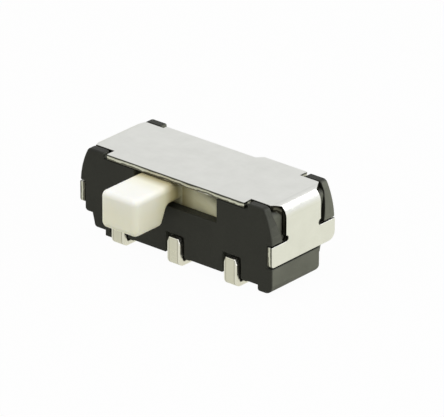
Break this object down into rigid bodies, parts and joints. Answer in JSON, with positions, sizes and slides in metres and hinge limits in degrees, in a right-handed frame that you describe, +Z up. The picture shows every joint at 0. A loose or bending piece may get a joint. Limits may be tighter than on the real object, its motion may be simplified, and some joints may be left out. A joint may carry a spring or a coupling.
{
  "type": "slide switch",
  "caption": "Miniature surface-mount slide switch: moulded housing under a folded metal cover, with a side knob on a straight travel and folded leads.",
  "frame": {"origin": "on the solder plane, under the middle of the body", "axes": "+X along the body, the way the slider travels from rest; -Y the side the knob points to; +Z up from the board"},
  "size_m": [0.0086, 0.0053, 0.0032],
  "materials": {
    "housing_plastic": "fine moulded matt",
    "plated_steel": "smooth bright plating",
    "knob_plastic": "smooth moulded",
    "plated_spring": "silver plated",
    "plated_lead": "satin tin plating"
  },
  "bodies": {
    "base": {"housing": "housing_plastic", "cover": "plated_steel", "front_terminal_left": "plated_lead", "front_terminal_middle": "plated_lead", "front_terminal_right": "plated_lead", "rear_terminal_left": "plated_lead", "rear_terminal_middle": "plated_lead", "rear_terminal_right": "plated_lead"},
    "slider": {"slider": "knob_plastic", "moving_contact": "plated_spring"}
  },
  "joints": [
    {"name": "slider_travel", "type": "slide", "parent": "base", "child": "slider", "axis": [1, 0, 0], "range_m": [0, 0.0017]}
  ]
}
